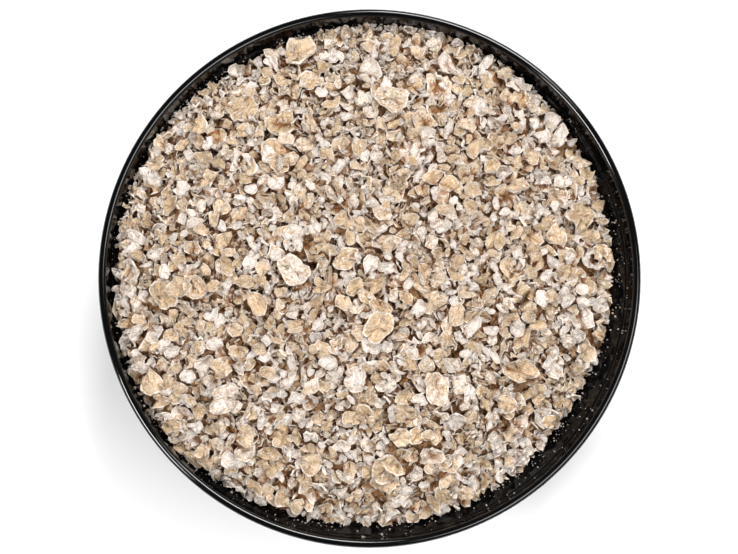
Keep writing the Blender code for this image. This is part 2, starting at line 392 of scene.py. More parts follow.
def turned_mesh(name, section, segments):
    """A closed turned shape. Its section starts and ends on the axis, with the solid side on its right."""
    around = np.arange(segments) * TAU / segments
    rings = [[(radius * math.cos(a), radius * math.sin(a), height) for a in around]
             for radius, height in section[1:-1]]
    mesh = ringed_mesh(name, (0.0, 0.0, section[0][1]), rings, (0.0, 0.0, section[-1][1]))
    mesh.set_sharp_from_angle(angle=math.radians(50.0))
    return mesh


# Nodes that the materials and the flake tree share

def feed(tree, value, socket):
    """Links an output into a socket, or sets the socket to a plain value."""
    if isinstance(value, bpy.types.NodeSocket):
        tree.links.new(value, socket)
    else:
        socket.default_value = value


def add_node(tree, kind, inputs=None, **settings):
    """A new node with its settings made and its inputs fed, by name or number."""
    node = tree.nodes.new(kind)
    for key, value in settings.items():
        setattr(node, key, value)
    for key, value in (inputs or {}).items():
        feed(tree, value, node.inputs[key])
    return node


def colour(rgb):
    return (*rgb, 1.0)


def math_node(tree, operation, first, second=0.0):
    return add_node(tree, "ShaderNodeMath", {0: first, 1: second}, operation=operation).outputs[0]


def times(tree, first, second):
    return math_node(tree, "MULTIPLY", first, second)


def total(tree, *values):
    """The sum of the values, each an output or a plain number."""
    result = values[0]
    for value in values[1:]:
        result = math_node(tree, "ADD", result, value)
    return result


def vector_math(tree, operation, *vectors):
    return add_node(tree, "ShaderNodeVectorMath", dict(enumerate(vectors)), operation=operation).outputs[0]


def split(tree, vector):
    return add_node(tree, "ShaderNodeSeparateXYZ", {0: vector}).outputs


def joined(tree, x=0.0, y=0.0, z=0.0):
    return add_node(tree, "ShaderNodeCombineXYZ", {0: x, 1: y, 2: z}).outputs[0]


def object_place(tree):
    return add_node(tree, "ShaderNodeTexCoord").outputs["Object"]


def noise(tree, vector, scale, detail=2.0, roughness=0.5):
    inputs = {"Vector": vector, "Scale": scale, "Detail": detail, "Roughness": roughness}
    return add_node(tree, "ShaderNodeTexNoise", inputs).outputs["Fac"]


def band(tree, value, low, high, to_low=0.0, to_high=1.0):
    """Maps low..high to to_low..to_high, smoothly and clamped."""
    inputs = {"Value": value, "From Min": low, "From Max": high, "To Min": to_low, "To Max": to_high}
    return add_node(tree, "ShaderNodeMapRange", inputs, interpolation_type="SMOOTHSTEP").outputs["Result"]


def mix(tree, factor, first, second, blend="MIX"):
    inputs = {0: factor, 6: first, 7: second}
    return add_node(tree, "ShaderNodeMix", inputs, data_type="RGBA", blend_type=blend).outputs[2]


def group_sockets(group, inputs, outputs):
    for name, kind in inputs:
        group.interface.new_socket(name, in_out="INPUT", socket_type=kind)
    for name, kind in outputs:
        group.interface.new_socket(name, in_out="OUTPUT", socket_type=kind)
    return add_node(group, "NodeGroupInput"), add_node(group, "NodeGroupOutput")


def new_material(name, base, roughness):
    made = bpy.data.materials.new(name)
    made.use_nodes = True
    shader = made.node_tree.nodes["Principled BSDF"]
    shader.inputs["Base Color"].default_value = colour(base)
    shader.inputs["Roughness"].default_value = roughness
    return made, made.node_tree, shader


def bump(tree, shader, height, distance):
    """Relief of the given depth in metres on a shader."""
    node = add_node(tree, "ShaderNodeBump", {"Strength": 1.0, "Distance": distance, "Height": height})
    tree.links.new(node.outputs["Normal"], shader.inputs["Normal"])


# Materials

# The Bran input gives the real bran streaks and also the colour of the flakes' painted shade
GRAIN_INPUTS = (
    ("Main", "NodeSocketColor"), ("Second", "NodeSocketColor"), ("Flour", "NodeSocketColor"),
    ("Bran", "NodeSocketColor"), ("Floury", "NodeSocketFloat"), ("Creased", "NodeSocketFloat"),
)
GRAIN_OUTPUTS = (("Color", "NodeSocketColor"), ("Height", "NodeSocketFloat"))
BLOTCH_SCALE = 420.0  # of the noises over the whole heap, in waves for each metre
WRINKLE_SCALE = 1200.0
SPECK_SCALE = 2600.0
FIBRE_WAVES = (2.5, 11.0, 0.0)  # in a flake's half length: along the flake and across it
RAY_WAVES = 4.5  # of the streaks that run out to the flake's rim
MOOD_SHIFT = 40.0  # sets one flake's fibres and rays apart from the next one's
# The rim's pale colour: partly the cut edge's own white, partly a painted highlight
PALE_RIM = (1.0, 0.95, 0.88, 1.0)
GRAIN_RELIEF = 0.75 * MM
DUST_SCALE = 1500.0  # dust specks in a metre
DUST_CLOUDS = 70.0  # clouds of them in a metre
DUST_SHARE = 0.20  # of the specks, where the dust is thickest
WORN_ROUGHNESS = 0.09
GLAZE_RELIEF = 0.03 * MM


def flake_pattern(group, creased):
    """The places, noises and masks that a flake's colour and relief are made from."""
    place = object_place(group)
    grain = add_node(group, "ShaderNodeAttribute", attribute_name="grain").outputs["Vector"]
    mood = add_node(group, "ShaderNodeAttribute", attribute_name="mood").outputs["Vector"]
    along, across, share = split(group, grain)
    tone, floury, offset = split(group, mood)
    shift = joined(group, z=times(group, offset, MOOD_SHIFT))
    outward = vector_math(group, "NORMALIZE", joined(group, along, across))
    ray_place = vector_math(group, "ADD", outward, shift)
    fibre_place = vector_math(group, "MULTIPLY_ADD", grain, FIBRE_WAVES, shift)
    crease = band(group, math_node(group, "ABSOLUTE", across), 0.03, 0.16, 1.0, 0.0)
    return SimpleNamespace(
        share=share, tone=tone, floury=floury, offset=offset,
        outer=band(group, share, 0.5, 0.95),
        fibres=noise(group, fibre_place, 1.0, 2.0, 0.6),
        rays=noise(group, ray_place, RAY_WAVES, 2.0, 0.6),
        blotches=noise(group, place, BLOTCH_SCALE, 3.0, 0.6),
        wrinkles=noise(group, place, WRINKLE_SCALE, 4.0, 0.7),
        fine=noise(group, place, SPECK_SCALE, 2.0, 0.6),
        crease=times(group, crease, creased),
    )


def flake_paint(group, given, flake):
    """The flake's colour: its own tone, with every stain, dusting, painted shade and the partly painted
    highlight of the rim laid over the one before, and painted shade where the flake lies deep in the heap.
    """
    flour, bran = given["Flour"], given["Bran"]
    pale = mix(group, 0.4, flour, PALE_RIM)
    dark_rays = times(group, band(group, flake.rays, 0.46, 0.34), flake.outer)
    light_rays = times(group, band(group, flake.rays, 0.54, 0.66), flake.outer)
    heart = total(group, flake.floury, given["Floury"], times(group, flake.blotches, 0.5), flake.wrinkles)
    # The pale rim is partly the cut edge's own white and partly a painted highlight where the thin edge
    # would catch the light; the wrinkle noise breaks it into patches.
    rim_patchiness = band(group, flake.wrinkles, 0.38, 0.54, 0.22, 0.78)
    rim = times(group, band(group, flake.share, 0.86, 0.93), rim_patchiness)
    layers = (  # where it lies, how strong it is at most, and its colour
        (dark_rays, 0.25, bran),
        (band(group, flake.share, 0.45, 0.9, 1.0, 0.0), 0.32, bran),  # painted shade in the dish of the middle
        (flake.crease, 1.0, bran),
        # painted shade in the hollows of the wrinkles
        (band(group, flake.wrinkles, 0.50, 0.36), 0.58, bran),
        (band(group, heart, 1.36, 1.62), 1.0, flour),
        (band(group, flake.fibres, 0.53, 0.60), 0.38, flour),
        (band(group, flake.fibres, 0.46, 0.39), 0.36, bran),
        (light_rays, 0.3, flour),
        (band(group, flake.share, 0.62, 0.84), 0.28, bran),  # the shade inside the rim
        # the pale rim: partly the edge's own white, partly a painted highlight
        (rim, 1.0, pale),
        (band(group, flake.fine, 0.56, 0.64), 0.38, flour),
        (band(group, flake.fine, 0.44, 0.35), 0.34, bran),
    )
    own_tone = band(group, total(group, flake.tone, flake.blotches), 0.75, 1.45)
    body = mix(group, own_tone, given["Main"], given["Second"])
    for mask, strength, paint in layers:
        body = mix(group, times(group, mask, strength), body, paint)
    value = total(group, times(group, flake.offset, 0.22), 0.86)
    body = mix(group, 1.0, body, joined(group, value, value, value), "MULTIPLY")
    # Painted shade: points below the heap's smoothed local level are darkened towards bran, as the shade
    # between the flakes would darken them.
    buried = add_node(group, "ShaderNodeAttribute", attribute_name="buried").outputs["Fac"]
    deep = band(group, buried, 0.1, 1.3, 0.0, 0.92)
    return mix(group, deep, body, mix(group, 1.0, body, bran, "MULTIPLY"))


def grain_group():
    """Colour and relief of an oat flake, from the flake's own coordinates and its own random mood."""
    name = "oat grain"
    if name in bpy.data.node_groups:
        return bpy.data.node_groups[name]
    group = bpy.data.node_groups.new(name, "ShaderNodeTree")
    start, end = group_sockets(group, GRAIN_INPUTS, GRAIN_OUTPUTS)
    flake = flake_pattern(group, start.outputs["Creased"])
    feed(group, flake_paint(group, start.outputs, flake), end.inputs["Color"])
    relief = total(group, flake.wrinkles, times(group, flake.fine, 0.25), times(group, flake.rays, 0.5),
                   times(group, flake.fibres, 0.5), times(group, flake.crease, -0.5))
    feed(group, relief, end.inputs["Height"])
    return group


def oat_material(name, main, second, floury, creased=0.0):
    """One kind of flake: two tones, how often it is floury, and how dark its crease is."""
    colours = bpy.context.scene.oat_colours
    made, tree, shader = new_material(name, main, 0.82)
    inputs = {"Main": colour(main), "Second": colour(second), "Flour": colour(colours.flour),
              "Bran": colour(colours.bran), "Floury": floury, "Creased": creased}
    grain = add_node(tree, "ShaderNodeGroup", node_tree=grain_group())
    for socket, value in inputs.items():
        feed(tree, value, grain.inputs[socket])
    feed(tree, grain.outputs["Color"], shader.inputs["Base Color"])
    bump(tree, shader, grain.outputs["Height"], GRAIN_RELIEF)
    shader.inputs["Specular IOR Level"].default_value = 0.25
    return made


def deep_oats_material():
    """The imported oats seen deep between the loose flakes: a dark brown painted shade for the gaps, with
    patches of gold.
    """
    colours = bpy.context.scene.oat_colours
    made, tree, shader = new_material("packed oats", colours.deep, 0.95)
    place = object_place(tree)
    patch = noise(tree, place, 300.0, 3.0, 0.6)
    paint = mix(tree, band(tree, patch, 0.35, 0.7), colour(colours.deep), colour(colours.gold))
    feed(tree, paint, shader.inputs["Base Color"])
    bump(tree, shader, noise(tree, place, 600.0, 3.0, 0.6), 0.6 * MM)
    return made


def on_inner_wall(tree, place, height):
    """A mask that is 1 on the bowl's inside, below the lip and above the heap's depths."""
    bowl = bpy.context.scene.oat_bowl
    low_enough = band(tree, height, RIM.z - 7.0 * MM, RIM.z - 1.0 * MM, 1.0, 0.0)
    high_enough = band(tree, height, 30.0 * MM, 32.0 * MM)
    low, high = RIM.z - 17.0 * MM, RIM.z - 6.0 * MM
    low_wall, high_wall = inside_radius(bowl, low), inside_radius(bowl, high)
    slope = (high_wall - low_wall) / (high - low)
    wall = total(tree, times(tree, height, slope), low_wall - slope * low)
    flat_place = vector_math(tree, "MULTIPLY", place, (1.0, 1.0, 0.0))
    away = add_node(tree, "ShaderNodeVectorMath", {0: flat_place}, operation="LENGTH").outputs["Value"]
    behind = math_node(tree, "SUBTRACT", away, wall)
    in_wall = band(tree, behind, 0.9 * MM, 1.4 * MM, 1.0, 0.0)
    return times(tree, times(tree, low_enough, high_enough), in_wall)


def oat_dust(tree, place, height):
    """A mask of fine dust: specks that gather in soft clouds on the inner wall."""
    inputs = {"Vector": place, "Scale": DUST_SCALE, "Randomness": 1.0}
    specks = add_node(tree, "ShaderNodeTexVoronoi", inputs)
    dots = band(tree, specks.outputs["Distance"], 0.10, 0.24, 1.0, 0.0)
    chance = add_node(tree, "ShaderNodeSeparateColor", {0: specks.outputs["Color"]}).outputs[0]
    clouds = band(tree, noise(tree, place, DUST_CLOUDS, 3.0, 0.6), 0.35, 0.72, 0.0, DUST_SHARE)
    amount = times(tree, clouds, on_inner_wall(tree, place, height))
    return times(tree, dots, math_node(tree, "LESS_THAN", chance, amount))


def glaze_material():
    """Black glaze, with fine oat dust on the inner wall and bare clay under the foot."""
    look = bpy.context.scene.oat_glaze
    flour = colour(bpy.context.scene.oat_colours.flour)
    made, tree, shader = new_material("black glaze", look.glaze, look.gloss_roughness)
    place = object_place(tree)
    height = split(tree, place)[2]
    dust = oat_dust(tree, place, height)
    bare = band(tree, height, 0.25 * MM, 0.7 * MM, 1.0, 0.0)
    paint = mix(tree, times(tree, dust, 0.75), colour(look.glaze), flour)
    clay = mix(tree, noise(tree, place, 900.0), colour(look.clay), colour([0.7 * c for c in look.clay]))
    feed(tree, mix(tree, bare, paint, clay), shader.inputs["Base Color"])
    wear = band(tree, noise(tree, place, 130.0, 3.0, 0.6), 0.3, 0.8, look.gloss_roughness, WORN_ROUGHNESS)
    dull = math_node(tree, "MAXIMUM", dust, bare)
    feed(tree, mix(tree, dull, wear, (0.9, 0.9, 0.9, 1.0)), shader.inputs["Roughness"])
    bump(tree, shader, noise(tree, place, 160.0, 2.0, 0.5), GLAZE_RELIEF)
    return made


def floor_material():
    """A matt pale floor, hardly uneven in tone."""
    look = bpy.context.scene.oat_stage
    made, tree, shader = new_material("pale floor", look.floor, 0.75)
    place = object_place(tree)
    soft = mix(tree, noise(tree, place, 6.0), colour(look.floor), colour([0.985 * c for c in look.floor]))
    feed(tree, soft, shader.inputs["Base Color"])
    return made


# Flake shapes

class Kind(NamedTuple):
    """One kind of flake"""
    name: str
    length: float
    spread: float  # of the length
    aspect: tuple  # least and most width, as a share of the length
    thickness: float
    segments: int  # points round the rim
    rings: tuple  # of points, as shares of the way out to the rim
    variants: int  # shapes that the flakes are picked from
    breaks: tuple  # fewest and most broken sides
    bend: float


KINDS = (
    Kind("whole", 8.8 * MM, 1.3 * MM, (0.70, 0.92), 0.42 * MM, 22, (0.3, 0.6, 0.86, 1.0), 18, (0, 2), 0.18),
    Kind("golden", 5.2 * MM, 1.4 * MM, (0.52, 0.92), 0.34 * MM, 12, (0.50, 0.86, 1.0), 30, (1, 3), 0.29),
    Kind("creamy", 4.3 * MM, 1.2 * MM, (0.52, 0.92), 0.36 * MM, 12, (0.50, 0.86, 1.0), 30, (1, 3), 0.29),
    Kind("floury", 3.1 * MM, 0.9 * MM, (0.55, 0.95), 0.62 * MM, 10, (0.58, 1.0), 26, (1, 4), 0.22),
    Kind("chips", 2.9 * MM, 0.7 * MM, (0.50, 0.95), 0.32 * MM, 9, (0.70, 1.0), 30, (1, 3), 0.28),
    Kind("slivers", 4.4 * MM, 1.3 * MM, (0.18, 0.34), 0.30 * MM, 10, (1.0,), 18, (0, 2), 0.30),
)
SMALL_KINDS = ("chips", "slivers")  # these fall into the gaps that the others leave
# added to each flake's random turn, so that the late kinds lie on the early ones
LATENESS = {"whole": 0.2, "golden": 0.2, "creamy": 0.2, "floury": 0.15, "chips": 0.0, "slivers": 0.3}
CREASE_DEPTH = 0.07  # in half lengths, as is the crease's width
CREASE_WIDTH = 0.13
FOLD_SHARE = 0.6  # of the shapes that are folded along a line


def flake_rim(kind, draw):
    """Directions and reaches of the points round a flake's rim, in half lengths."""
    count = kind.segments
    around = (np.arange(count) + draw.uniform(-0.22, 0.22, count)) * TAU / count
    reach = np.ones(count)
    for lobes in (2, 3, 4, 5):
        size = draw.uniform(-0.10, 0.10) / math.sqrt(lobes - 1)
        reach += size * np.cos(lobes * around + draw.uniform(0, TAU))
    for _ in range(draw.integers(kind.breaks[0], kind.breaks[1] + 1)):
        facing = np.cos(around - draw.uniform(0, TAU))
        reach = np.minimum(reach, draw.uniform(0.50, 0.85) / np.maximum(facing, 0.02))
    reach *= draw.uniform(0.90, 1.04, count)
    reach[draw.integers(count)] *= draw.uniform(0.72, 1.0)
    return around, reach


def flake_relief(kind, draw):
    """A function that gives the height of a flake's middle sheet, and a ripple for each of its points."""
    bends = draw.normal(0.0, kind.bend, 4)
    bends[:2] += 0.5 * kind.bend
    creased = kind.name == "whole"
    wave, twist = draw.uniform(0, TAU, 2)
    ripple_size = (0.55 if creased else 0.42) * kind.bend
    ripple = draw.normal(0.0, ripple_size, (len(kind.rings) + 1, kind.segments))
    fold = draw.uniform(-0.42, 0.42) if draw.uniform() < FOLD_SHARE else 0.0
    fold_way, fold_place = draw.uniform(0, TAU), draw.uniform(-0.3, 0.3)

    def level(u, v, share, angle):
        rise = bends[0] * (u * u - 0.35) + bends[1] * (v * v - 0.35) + 0.8 * bends[2] * u * v
        rise += 0.7 * bends[3] * share**2 * math.cos(3 * angle + wave)
        rise += 0.5 * kind.bend * share**3 * math.cos(5 * angle + twist)
        rise += fold * (abs(u * math.cos(fold_way) + v * math.sin(fold_way) - fold_place) - 0.3)
        if creased:
            rise -= CREASE_DEPTH * math.exp(-((v / CREASE_WIDTH) ** 2)) * max(0.0, 1 - u * u)
        return rise

    return level, ripple


def flake_mesh(kind, index, draw):
    """A flake of half length 1: a bent, thin-edged plate, with its coordinates in the attribute grain."""
    around, reach = flake_rim(kind, draw)
    count = kind.segments
    level, ripple = flake_relief(kind, draw)
    half_thick = kind.thickness / kind.length
    verts, grain = [], []

    def add(share, k, side):
        angle = around[k] if share else 0.0
        u = share * reach[k] * math.cos(angle)
        v = share * reach[k] * math.sin(angle)
        thick = half_thick * (1 - 0.25 * share**3)
        ring = kind.rings.index(share) + 1 if share else 0
        z = level(u, v, share, angle) + ripple[ring][k] * min(1.0, 2 * share) + side * thick
        verts.append((u, v, z))
        grain.append((u, v, share))
        return len(verts) - 1

    faces, rims = [], []
    for side, rings in ((1, kind.rings), (-1, kind.rings[1::2] or (1.0,))):  # fewer rings underneath
        middle = add(0.0, 0, side)
        previous = None
        for share in rings:
            ring = [add(share, k, side) for k in range(count)]
            for k in range(count):
                j = (k + 1) % count
                if previous is None:
                    face = (middle, ring[k], ring[j])
                else:
                    face = (previous[k], ring[k], ring[j], previous[j])
                faces.append(face if side == 1 else face[::-1])
            previous = ring
        rims.append(previous)
    top, under = rims
    for k in range(count):
        j = (k + 1) % count
        faces.append((top[k], under[k], under[j], top[j]))
    mesh = bpy.data.meshes.new(f"{kind.name}_{index:02d}")
    mesh.from_pydata(verts, [], faces)
    own = mesh.attributes.new("grain", "FLOAT_VECTOR", "POINT")
    own.data.foreach_set("vector", np.array(grain, np.float32).ravel())
    mesh.shade_smooth()
    mesh.set_sharp_from_angle(angle=math.radians(36.0))
    return mesh


def shape_collection(kind, draw):
    """The kind's shapes as objects in a collection that the flakes are picked from."""
    shapes = bpy.data.collections.new(f"{kind.name} shapes")
    for index in range(kind.variants):
        mesh = flake_mesh(kind, index, draw)
        shapes.objects.link(bpy.data.objects.new(mesh.name, mesh))
    return shapes


# Laying the flakes

USUAL_TRIES = 6  # leans that are tried for a flake, of which the lowest is kept
STEEP_TILT = math.radians(62.0)
STEEP_SPREAD = math.radians(12.0)
MOST_TILT = math.radians(80.0)
STEEP_SHOWN = (0.15, 1.0)  # how far a steep flake stands out of the pile, in millimetres
SLIVERS_STEEPER = 2.5  # how many times as often slivers are steep
SINK = 0.08 * MM  # how far a flake beds into what it lies on
PROBE_STEP = 0.8 * MM  # between the points that feel what lies under a flake
CLEAR_OF_TOP = 0.3 * MM  # between the flakes, before they ripple, and the top of the solid heap
HEAD_ROOM = 0.05 * MM  # between the finished flakes and the top of the solid heap
WALL_SLACK = 0.1 * MM  # how far a flake may be laid into the wall, before it is pressed flat against it


class Pile:
    """The heap while it is laid: a map of its height, which every flake rests on and then raises."""

    CELL = 0.3 * MM  # the side of one square of the map

    def __init__(self, bowl, heap, draw):
        self.bowl, self.heap, self.draw = bowl, heap, draw
        self.extent = RIM.x
        self.count = int(2 * self.extent / self.CELL)
        axis = (np.arange(self.count) + 0.5) * self.CELL - self.extent
        x, y = np.meshgrid(axis, axis, indexing="ij")
        self.target = heap_height(bowl, heap, x, y)
        wall = inside_height(bowl, np.hypot(x, y))
        self.level = np.maximum(self.target - heap.loose_depth, wall)
        self.top = CAD_BOX[1].z - CLEAR_OF_TOP
        profile = np.array(inside_profile(bowl))
        self.wall_heights, self.wall_radii = profile[:, 1].copy(), profile[:, 0] - heap.gap
        self.layers = np.zeros_like(self.level)

    def cells(self, x, y):
        """The map's cells at the given places."""
        i = np.clip(np.floor_divide(x + self.extent, self.CELL), 0, self.count - 1)
        j = np.clip(np.floor_divide(y + self.extent, self.CELL), 0, self.count - 1)
        return np.asarray(i, int), np.asarray(j, int)

    def lowest_place(self, fill_gaps, tries=7):
        """Of a few random places, the one with the fewest layers of flakes on it, or the deepest gap."""
        angle = self.draw.uniform(0, TAU, tries)
        reach = edge_radius(self.bowl, self.heap, angle) * np.sqrt(self.draw.uniform(0, 1, tries))
        x, y = reach * np.cos(angle), reach * np.sin(angle)
        cells = self.cells(x, y)
        deep = (self.target[cells] - self.level[cells]) / MM
        best = np.argmin(-deep if fill_gaps else self.layers[cells] - 0.5 * deep)
        return x[best], y[best]

    def slope_normal(self, x, y, step=2.0 * MM):
        """A vector square to the heap's even surface, taken a little inward of its steep edge."""
        inward = 1 - min(1.5 * step / math.hypot(x, y), 1.0)
        x, y = x * inward, y * inward
        xs = np.array([x + step, x - step, x, x])
        ys = np.array([y, y, y + step, y - step])
        z = heap_height(self.bowl, self.heap, xs, ys)
        return np.array([(z[1] - z[0]) / (2 * step), (z[3] - z[2]) / (2 * step), 1.0])

    def past_wall(self, points):
        """How far the points reach through the bowl's wall."""
        wall = np.interp(points[..., 2], self.wall_heights, self.wall_radii)
        return np.max(np.hypot(points[..., 0], points[..., 1]) - wall, axis=-1)

    def smooth_level(self, reach=4):
        """The map of heights without the bowl's rising wall, averaged twice over a few cells."""
        level = np.minimum(self.level, self.target + 1.0 * MM)
        for axis in (0, 1, 0, 1):
            level = sum(np.roll(level, shift, axis) for shift in range(-reach, reach + 1)) / (2 * reach + 1)
        return level


def turned_to(normals, spin):
    """Rotation matrices that take +Z to each normal, after a turn by spin about +Z."""
    n = normals / np.linalg.norm(normals, axis=1, keepdims=True)
    x, y, z = n.T
    k = 1.0 / (1.0 + z)
    lean = np.stack([
        np.stack([1 - x * x * k, -x * y * k, x], 1),
        np.stack([-x * y * k, 1 - y * y * k, y], 1),
        np.stack([-x, -y, z], 1),
    ], 1)
    c, s = math.cos(spin), math.sin(spin)
    return lean @ np.array([[c, -s, 0.0], [s, c, 0.0], [0.0, 0.0, 1.0]])


def flake_probe(half_long, half_wide, steps):
    """Points over a flat oval of a flake's size, closer than steps apart."""
    along = np.linspace(-1, 1, max(3, int(2 * half_long / steps) + 1))
    across = np.linspace(-1, 1, max(3, int(2 * half_wide / steps) + 1))
    u, v = np.meshgrid(along, across, indexing="ij")
    inside = u * u + v * v <= 1.0
    u, v = u[inside], v[inside]
    return np.stack([u * half_long, v * half_wide, np.zeros_like(u)], 1)


def flake_turns(draw, base, steep, tilt):
    """Rotations to try for a flake on a surface square to base: a few usual leans, or one steep one."""
    if steep:
        tilts = np.abs(draw.normal(0.0, 1.0, 1)) * STEEP_SPREAD + STEEP_TILT
    else:
        tilts = np.abs(draw.normal(0.0, 1.0, USUAL_TRIES)) * tilt
    tilts = np.clip(tilts, 0.0, MOST_TILT)
    ways = draw.uniform(0, TAU, len(tilts))
    pull = np.tan(tilts) * np.linalg.norm(base)
    normals = base + np.stack([pull * np.cos(ways), pull * np.sin(ways), np.zeros(len(tilts))], 1)
    return turned_to(normals, draw.uniform(0, TAU))


def resting_height(pile, spots, x, y, snugness, thickness):
    """How high a flake lies at a place, with its snug share clear of what is under it."""
    heights = pile.level[pile.cells(spots[..., 0] + x, spots[..., 1] + y)] - spots[..., 2]
    return np.quantile(heights, snugness, axis=-1) + 0.5 * thickness - SINK


def has_room(pile, kind, mix_of, spots, place, length):
    """Whether a flake stays under the heap's surface and in the bowl."""
    world = spots + place
    surface = pile.target[pile.cells(world[:, 0], world[:, 1])]
    if kind.name not in SMALL_KINDS:
        surface = np.maximum(surface, pile.target[pile.cells(place[0], place[1])] - mix_of.overhang)
    ceiling = np.minimum(surface + (mix_of.overshoot + 0.12 * length), pile.top)
    too_high = np.max(world[:, 2] + 0.7 * kind.thickness - ceiling) > 0
    return not (too_high or pile.past_wall(world) > WALL_SLACK)


def lay_flake(pile, kind, mix_of):
    """Lays one flake and returns its place, rotation and half sizes, or None where the heap is full."""
    draw = pile.draw
    length = max(kind.length + kind.spread * draw.normal(), 0.55 * kind.length)
    half_long = 0.5 * length
    half_wide = half_long * draw.uniform(*kind.aspect)
    x, y = pile.lowest_place(kind.name in SMALL_KINDS)
    steep = draw.uniform() < mix_of.steep_share * (SLIVERS_STEEPER if kind.name == "slivers" else 1.0)
    turns = flake_turns(draw, pile.slope_normal(x, y), steep, mix_of.tilt)
    spots = np.einsum("cij,pj->cpi", turns, flake_probe(half_long, half_wide, PROBE_STEP))
    z = pile.target[pile.cells(x, y)] - 0.5 * MM
    inward = 1 - np.maximum(pile.past_wall(spots + (x, y, z)), 0.0) / math.hypot(x, y)
    xs, ys = (x * inward)[:, None], (y * inward)[:, None]
    if steep:
        shown = draw.uniform(*STEEP_SHOWN) * MM
        rest = pile.level[pile.cells(xs[:, 0], ys[:, 0])] + shown - spots[..., 2].max(1)
    else:
        rest = resting_height(pile, spots, xs, ys, mix_of.snugness, kind.thickness)
    best = int(np.argmin(rest))
    turn, spots, x, y, z = turns[best], spots[best], xs[best, 0], ys[best, 0], rest[best]
    for _ in range(3):
        over = pile.past_wall(spots + (x, y, z))
        if over <= 0:
            break
        x, y = (1 - over / math.hypot(x, y)) * np.array((x, y))
        if not steep:
            z = resting_height(pile, spots, x, y, mix_of.snugness, kind.thickness)
    if not has_room(pile, kind, mix_of, spots, (x, y, z), length):
        return None
    raise_pile(pile, turn, half_long, half_wide, (x, y, z), 0.5 * kind.thickness)
    return (x, y, z), turn, (half_long, half_wide, half_long)


def raise_pile(pile, turn, half_long, half_wide, place, half_thick):
    """Raises the map of heights under a flake that has been laid."""
    points = flake_probe(0.95 * half_long, 0.95 * half_wide, 0.8 * pile.CELL) @ turn.T + place
    cells = pile.cells(points[:, 0], points[:, 1])
    np.maximum.at(pile.level, cells, points[:, 2] + half_thick)
    pile.layers[cells] += 1


def lay_all(mix_of):
    """Lays every flake. For each kind, gives its flakes' places, rotations, sizes, shapes and moods."""
    scene = bpy.context.scene
    draw = np.random.default_rng(mix_of.seed)
    pile = Pile(scene.oat_bowl, scene.oat_heap, draw)
    counts = [getattr(mix_of, kind.name) for kind in KINDS]
    order = np.repeat(np.arange(len(KINDS)), counts)
    turn_of = draw.uniform(0, 1, len(order)) + np.array([LATENESS[kind.name] for kind in KINDS])[order]
    order = order[np.argsort(turn_of)]
    laid = {kind.name: [] for kind in KINDS}
    for which in order:
        kind = KINDS[which]
        flake = lay_flake(pile, kind, mix_of)
        if flake is None:
            continue
        place, turn, size = flake
        shape = int(draw.integers(kind.variants))
        mood = draw.uniform(0, 1, 3)
        laid[kind.name].append((place, Matrix(turn).to_quaternion(), size, shape, mood))
    return laid, pile


LAID_VALUES = (  # what every point carries to the flake tree, and its column in a laid flake
    ("turn", "QUATERNION", "value", np.float32, 1),
    ("size", "FLOAT_VECTOR", "vector", np.float32, 2),
    ("shape", "INT", "value", np.int32, 3),
    ("mood", "FLOAT_VECTOR", "vector", np.float32, 4),
)
TREE_INPUTS = (
    ("Places", "NodeSocketGeometry"), ("Shapes", "NodeSocketCollection"), ("Wave Length", "NodeSocketFloat"),
    ("Wave Height", "NodeSocketFloat"), ("Seed", "NodeSocketFloat"), ("Finish", "NodeSocketMaterial"),
)


def places_mesh(name, flakes):
    """Loose points that carry each flake's turn, size, shape and mood."""
    mesh = bpy.data.meshes.new(name)
    mesh.from_pydata([flake[0] for flake in flakes], [], [])
    for key, kind, field, number, column in LAID_VALUES:
        values = np.array([flake[column] for flake in flakes], number)
        mesh.attributes.new(key, kind, "POINT").data.foreach_set(field, values.ravel())
    return mesh


def stored(tree, key, kind):
    """Reads one of the values that a point carries."""
    node = add_node(tree, "GeometryNodeInputNamedAttribute", {"Name": key}, data_type=kind)
    return node.outputs["Attribute"]


def laid_tree():
    """Puts a shape on every point, turned and sized by the point's attributes, and bends it a little."""
    name = "laid flakes"
    if name in bpy.data.node_groups:
        return bpy.data.node_groups[name]
    tree = bpy.data.node_groups.new(name, "GeometryNodeTree")
    start, end = group_sockets(tree, TREE_INPUTS, (("Flakes", "NodeSocketGeometry"),))
    given = start.outputs
    shapes = add_node(tree, "GeometryNodeCollectionInfo", {
        "Collection": given["Shapes"], "Separate Children": True, "Reset Children": True})
    put = add_node(tree, "GeometryNodeInstanceOnPoints", {
        "Points": given["Places"], "Instance": shapes.outputs[0], "Pick Instance": True,
        "Instance Index": stored(tree, "shape", "INT"), "Rotation": stored(tree, "turn", "QUATERNION"),
        "Scale": stored(tree, "size", "FLOAT_VECTOR")})
    real = add_node(tree, "GeometryNodeRealizeInstances", {0: put.outputs[0]})
    place = add_node(tree, "GeometryNodeInputPosition").outputs[0]
    waves = add_node(tree, "ShaderNodeTexNoise", noise_dimensions="4D")
    per_metre = math_node(tree, "DIVIDE", 1.0, given["Wave Length"])
    for key, value in (("Vector", place), ("W", given["Seed"]), ("Scale", per_metre), ("Detail", 1.0)):
        feed(tree, value, waves.inputs[key])
    centred = vector_math(tree, "SUBTRACT", waves.outputs["Color"], (0.5, 0.5, 0.5))
    moved = add_node(tree, "ShaderNodeVectorMath", operation="SCALE")
    feed(tree, centred, moved.inputs[0])
    feed(tree, given["Wave Height"], moved.inputs["Scale"])
    bent = add_node(tree, "GeometryNodeSetPosition", {
        "Geometry": real.outputs[0], "Offset": moved.outputs[0]})
    finish = add_node(tree, "GeometryNodeSetMaterial", {
        "Geometry": bent.outputs[0], "Material": given["Finish"]})
    feed(tree, finish.outputs[0], end.inputs["Flakes"])
    return tree


